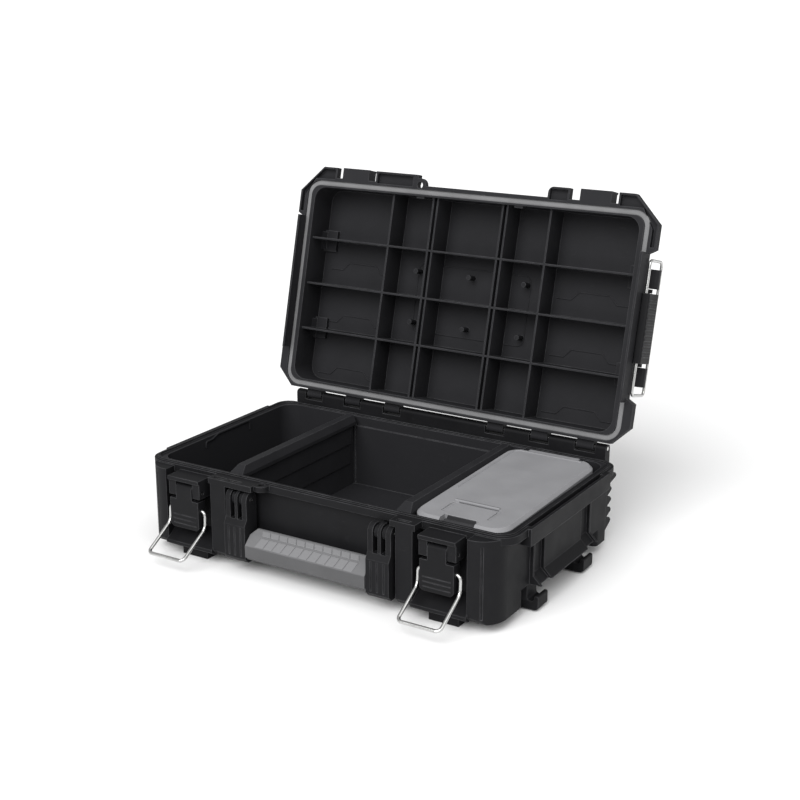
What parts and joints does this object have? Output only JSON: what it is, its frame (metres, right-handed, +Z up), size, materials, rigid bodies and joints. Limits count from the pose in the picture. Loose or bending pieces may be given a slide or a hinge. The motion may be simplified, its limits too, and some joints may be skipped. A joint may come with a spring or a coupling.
{
  "type": "tool case",
  "caption": "Black plastic tool case with a hinged ribbed lid, wire front latches, fold-out handle, side stacking latches, lift-out dividers and a lidded organiser.",
  "frame": {"origin": "on the floor under the middle of the tub, between the four feet", "axes": "+X to the case's right seen from the handle, +Y towards the hinge, +Z up"},
  "size_m": [0.5544, 0.4838, 0.453],
  "materials": {
    "black_plastic": "fine moulded grain",
    "grey_plastic": "fine moulded grain",
    "grey_rubber": "matt with a moulded pattern",
    "seal_rubber": "matt",
    "bright_steel": "bright drawn wire"
  },
  "bodies": {
    "base": {"base_shell": "black_plastic", "rear_bumper_left": "black_plastic", "rear_bumper_right": "black_plastic", "hinge_rod": "bright_steel", "handle_pins": "bright_steel", "latch_pins": "bright_steel"},
    "handle": {"handle_frame": "black_plastic", "handle_grip": "grey_rubber"},
    "latch_lever_left": {"latch_lever_left": "black_plastic"},
    "latch_lever_right": {"latch_lever_right": "black_plastic"},
    "latch_bail_left": {"latch_bail_left": "bright_steel"},
    "latch_bail_right": {"latch_bail_right": "bright_steel"},
    "lid": {"lid_shell": "black_plastic", "lid_gasket": "seal_rubber", "stack_pins": "bright_steel"},
    "stack_lever_left": {"stack_lever_left": "black_plastic"},
    "stack_lever_right": {"stack_lever_right": "black_plastic"},
    "stack_bail_left": {"stack_bail_left": "bright_steel"},
    "stack_bail_right": {"stack_bail_right": "bright_steel"},
    "divider_left": {"divider_left": "black_plastic"},
    "divider_right": {"divider_right": "black_plastic"},
    "organiser": {"organiser_bin": "black_plastic", "organiser_hinge_pin": "bright_steel"},
    "organiser_lid": {"organiser_lid": "grey_plastic", "organiser_latch_pin": "bright_steel"},
    "organiser_latch": {"organiser_latch": "black_plastic"}
  },
  "joints": [
    {"name": "lid_hinge", "type": "hinge", "parent": "base", "child": "lid", "pos_m": [0, 0.16, 0.131], "axis": [-1, 0, 0], "range_deg": [-103.93, 0]},
    {"name": "handle_swing", "type": "hinge", "parent": "base", "child": "handle", "pos_m": [0, -0.1615, 0.098], "axis": [-1, 0, 0], "range_deg": [0, 95]},
    {"name": "latch_lever_left_pull", "type": "hinge", "parent": "base", "child": "latch_lever_left", "pos_m": [-0.185, -0.168, 0.094], "axis": [-1, 0, 0], "range_deg": [0, 100]},
    {"name": "latch_bail_left_swing", "type": "hinge", "parent": "latch_lever_left", "child": "latch_bail_left", "pos_m": [-0.185, -0.169, 0.07], "axis": [1, 0, 0], "range_deg": [-141.9, 0]},
    {"name": "stack_lever_left_pull", "type": "hinge", "parent": "lid", "child": "stack_lever_left", "pos_m": [-0.259, 0.22667, 0.27931], "axis": [0, -0.2407, -0.9706], "range_deg": [0, 80]},
    {"name": "stack_bail_left_swing", "type": "hinge", "parent": "stack_lever_left", "child": "stack_bail_left", "pos_m": [-0.2682, 0.19415, 0.28738], "axis": [0, 0.2407, 0.9706], "range_deg": [0, 100]},
    {"name": "divider_left_lift", "type": "slide", "parent": "base", "child": "divider_left", "axis": [0, 0, 1], "range_m": [0, 0.13]},
    {"name": "latch_lever_right_pull", "type": "hinge", "parent": "base", "child": "latch_lever_right", "pos_m": [0.185, -0.168, 0.094], "axis": [-1, 0, 0], "range_deg": [0, 100]},
    {"name": "latch_bail_right_swing", "type": "hinge", "parent": "latch_lever_right", "child": "latch_bail_right", "pos_m": [0.185, -0.169, 0.07], "axis": [1, 0, 0], "range_deg": [-141.9, 0]},
    {"name": "stack_lever_right_pull", "type": "hinge", "parent": "lid", "child": "stack_lever_right", "pos_m": [0.259, 0.22667, 0.27931], "axis": [0, 0.2407, 0.9706], "range_deg": [0, 80]},
    {"name": "stack_bail_right_swing", "type": "hinge", "parent": "stack_lever_right", "child": "stack_bail_right", "pos_m": [0.2682, 0.19415, 0.28738], "axis": [0, -0.2407, -0.9706], "range_deg": [0, 100]},
    {"name": "divider_right_lift", "type": "slide", "parent": "base", "child": "divider_right", "axis": [0, 0, 1], "range_m": [0, 0.13]},
    {"name": "organiser_lift", "type": "slide", "parent": "base", "child": "organiser", "axis": [0, 0, 1], "range_m": [0, 0.14]},
    {"name": "organiser_lid_hinge", "type": "hinge", "parent": "organiser", "child": "organiser_lid", "pos_m": [0.18525, 0.127, 0.1182], "axis": [-1, 0, 0], "range_deg": [0, 100]},
    {"name": "organiser_latch_flip", "type": "hinge", "parent": "organiser_lid", "child": "organiser_latch", "pos_m": [0.18525, -0.1221, 0.1108], "axis": [-1, 0, 0], "range_deg": [0, 75]}
  ]
}
